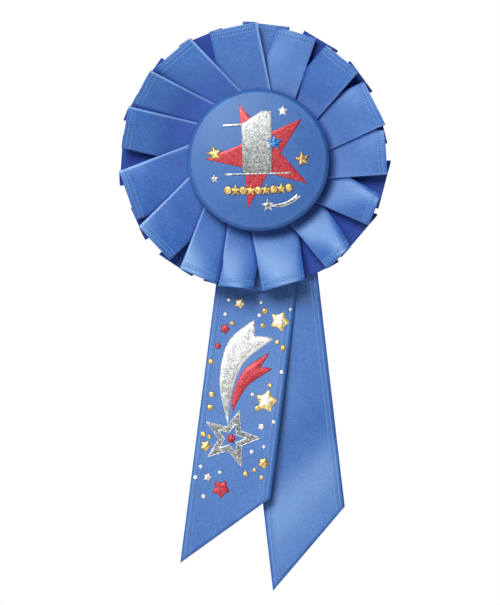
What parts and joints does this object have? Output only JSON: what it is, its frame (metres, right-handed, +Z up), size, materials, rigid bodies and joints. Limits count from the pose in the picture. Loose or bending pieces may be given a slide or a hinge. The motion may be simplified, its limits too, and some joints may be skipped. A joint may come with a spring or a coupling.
{
  "type": "award ribbon rosette",
  "caption": "Award rosette of box-pleated satin ribbon round a fabric-covered button, with two angled streamers and a bar pin with a rolling catch behind.",
  "frame": {"origin": "middle of the pin bar's rear face, where the wearer's garment bears on it", "axes": "+Z up as worn, +Y from the front of the rosette towards the wearer, +X to the viewer's right"},
  "size_m": [0.0826, 0.0228, 0.1753],
  "materials": {
    "blue_satin": "satin weave ribbon with a soft sheen",
    "blue_thread": "twisted polyester thread",
    "white_foam": "matt open foam",
    "white_card": "matt uncoated card",
    "hot_glue": "translucent cream, waxy",
    "tinplate": "pressed tinplate",
    "nickel": "bright nickel plate"
  },
  "bodies": {
    "rosette": {"button_cover": "blue_satin", "button_padding": "white_foam", "button_shell": "tinplate", "button_back_plate": "tinplate", "button_glue_pad": "hot_glue", "pleated_ribbon": "blue_satin", "gathering_thread": "blue_thread", "ruffle_card": "white_card", "streamer_left": "blue_satin", "streamer_right": "blue_satin", "staple_upper": "tinplate", "staple_lower": "tinplate", "card_glue_upper": "hot_glue", "card_glue_side": "hot_glue", "backing_card": "white_card", "pin_foam_tape": "white_foam", "pin_base": "nickel", "pin_hinge_rivet": "nickel"},
    "stem": {"pin_stem": "nickel"},
    "collar": {"catch_collar": "nickel"}
  },
  "joints": [
    {"name": "pin_swing", "type": "hinge", "parent": "rosette", "child": "stem", "pos_m": [-0.0135, 0.0034, 0], "axis": [0, 0, 1], "range_deg": [0, 100]},
    {"name": "catch_roll", "type": "hinge", "parent": "rosette", "child": "collar", "pos_m": [0.0133, 0.0034, 0], "axis": [1, 0, 0], "range_deg": [0, 120]}
  ]
}
